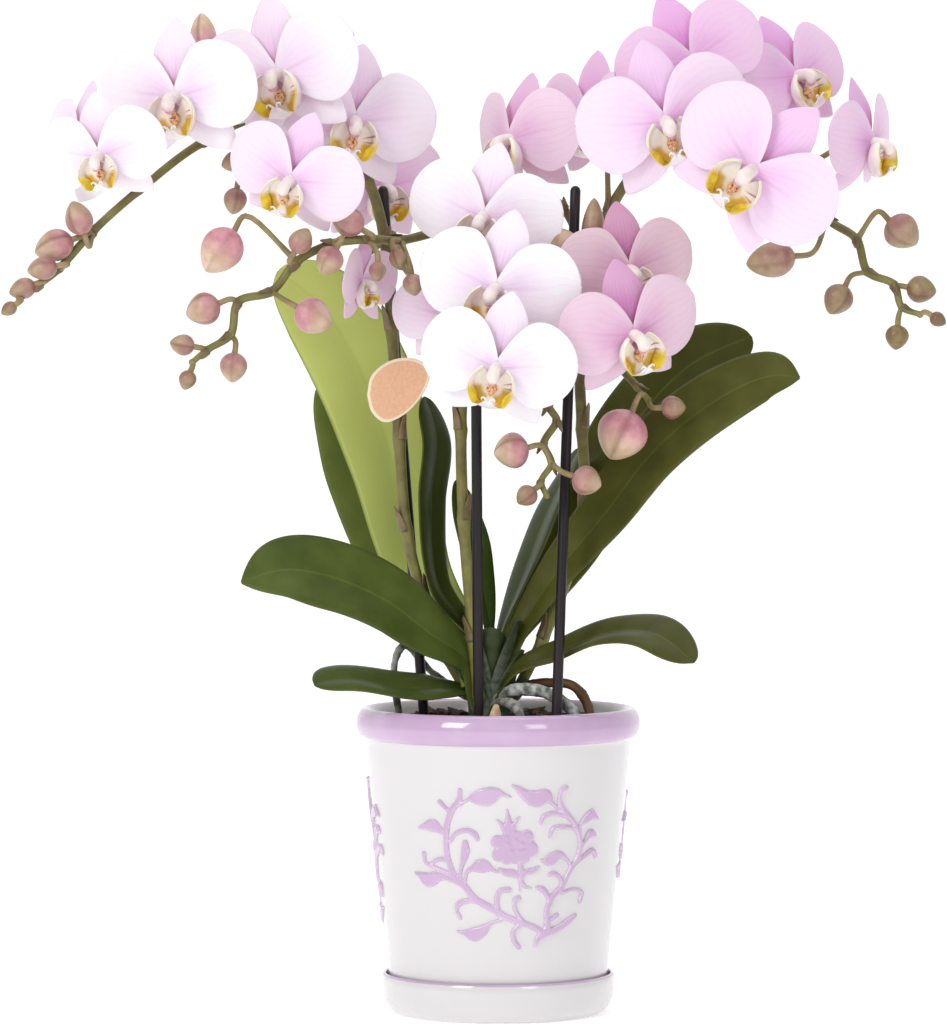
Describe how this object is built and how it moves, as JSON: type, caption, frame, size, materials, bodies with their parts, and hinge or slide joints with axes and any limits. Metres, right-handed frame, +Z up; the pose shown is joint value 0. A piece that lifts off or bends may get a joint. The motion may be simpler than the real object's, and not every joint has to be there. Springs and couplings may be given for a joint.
{
  "type": "potted moth orchid",
  "caption": "Moth orchid with pale pink blooms on arching spikes, held by stakes, in a glazed ceramic pot with raised ornament, on its saucer.",
  "frame": {"origin": "middle of the saucer's flat underside", "axes": "+Z up along the pot's axis, -Y towards the side that the blooms face, +X to the right as seen from there"},
  "size_m": [0.3729, 0.1284, 0.4087],
  "materials": {
    "glazed_pot": "white gloss glaze with a lilac rim bead and raised lilac ornament",
    "glazed_saucer": "white gloss glaze with a lilac line on its lip",
    "bark": "dark rough bark chips",
    "root": "silver-grey velamen, brown where old",
    "stake": "dark semi-gloss",
    "card": "matte peach card with a pale edge",
    "leaf": "waxy dark green, paler underneath",
    "stem": "olive brown to green, with dusty pink buds",
    "petal": "soft pale lilac pink, velvety, with a yellow and white lip"
  },
  "bodies": {
    "root": {"pot": "glazed_pot", "saucer": "glazed_saucer", "growing_bark": "bark", "crown_and_roots": "root", "stake_left": "stake", "stake_middle": "stake", "stake_right": "stake", "tag": "card", "leaf_front_left": "leaf", "leaf_tall_left": "leaf", "leaf_back_left": "leaf", "leaf_inner_left": "leaf", "leaf_inner_middle": "leaf", "leaf_low_left": "leaf", "leaf_big_right": "leaf", "leaf_back_right": "leaf", "leaf_low_right": "leaf", "leaf_inner_right": "leaf", "spike_left": "stem", "spike_middle": "stem", "spike_right": "stem", "bloom_left_1": "petal", "bloom_left_2": "petal", "bloom_left_3": "petal", "bloom_left_4": "petal", "bloom_left_5": "petal", "bloom_left_6": "petal", "bloom_left_7": "petal", "bloom_left_8": "petal", "bloom_middle_1": "petal", "bloom_middle_2": "petal", "bloom_middle_3": "petal", "bloom_middle_4": "petal", "bloom_right_1": "petal", "bloom_right_2": "petal", "bloom_right_3": "petal", "bloom_right_4": "petal", "bloom_right_5": "petal", "bloom_right_6": "petal", "bloom_right_7": "petal", "bloom_low_1": "petal", "bloom_low_2": "petal"}
  },
  "joints": []
}
